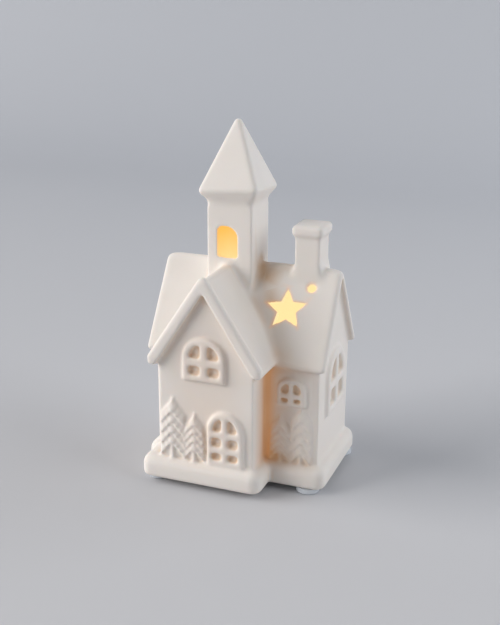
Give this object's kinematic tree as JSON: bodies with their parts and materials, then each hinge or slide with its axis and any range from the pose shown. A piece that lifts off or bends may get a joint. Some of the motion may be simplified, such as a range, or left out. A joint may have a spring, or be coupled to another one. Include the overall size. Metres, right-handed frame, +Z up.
{
  "type": "lit ceramic village house",
  "caption": "Small unglazed porcelain house with a tower, chimney, gabled wing, cut-out star and lit tower window, on clear feet, with a removable battery light unit in its floor.",
  "frame": {"origin": "middle of the plinth's outline on the table, under the feet", "axes": "+Z up, -Y out of the front with the large gable, +X to the right seen from the front"},
  "size_m": [0.0852, 0.0674, 0.16],
  "materials": {
    "bisque_porcelain": "unglazed matt bisque porcelain, opaque but faintly translucent where thin",
    "clear_rubber": "clear glossy soft polyurethane",
    "white_plastic": "fine-textured moulded plastic",
    "soft_grip": "soft translucent grey rubber",
    "screw_steel": "zinc-plated",
    "green_board": "green solder mask",
    "black_resin": "moulded resin",
    "led_resin": "clear epoxy over a warm white die",
    "tinned_wire": "tinned",
    "switch_can": "bright pressed steel",
    "black_plastic": "fine-textured moulded plastic",
    "cell_steel": "nickel-plated",
    "contact_plate": "nickel-plated spring steel",
    "red_insulation": "smooth insulation",
    "black_insulation": "smooth insulation"
  },
  "bodies": {
    "house": {"ceramic_house": "bisque_porcelain", "foot_front_left": "clear_rubber", "foot_front_right": "clear_rubber", "foot_back_left": "clear_rubber", "foot_back_right": "clear_rubber"},
    "light_unit": {"light_housing": "white_plastic", "grip_ring": "soft_grip", "housing_cap": "white_plastic", "cap_screws": "screw_steel", "circuit_board": "green_board", "resistor": "black_resin", "led_lamp": "led_resin", "led_leads": "tinned_wire", "switch_body": "switch_can", "cell_1": "cell_steel", "cell_2": "cell_steel", "cell_3": "cell_steel", "contact_plus": "contact_plate", "contact_minus": "contact_plate", "wire_plus": "red_insulation", "wire_minus": "black_insulation"},
    "switch_knob": {"switch_knob": "black_plastic"},
    "battery_door": {"battery_door": "white_plastic", "door_screw": "screw_steel"}
  },
  "joints": [
    {"name": "light_unit_pull", "type": "slide", "parent": "house", "child": "light_unit", "axis": [0, 0, -1], "range_m": [0, 0.032]},
    {"name": "switch_slide", "type": "slide", "parent": "light_unit", "child": "switch_knob", "axis": [-1, 0, 0], "range_m": [0, 0.002]},
    {"name": "battery_door_swing", "type": "hinge", "parent": "light_unit", "child": "battery_door", "pos_m": [-0.0077, -0.006, 0.00335], "axis": [-1, 0, 0], "range_deg": [0, 95]}
  ]
}
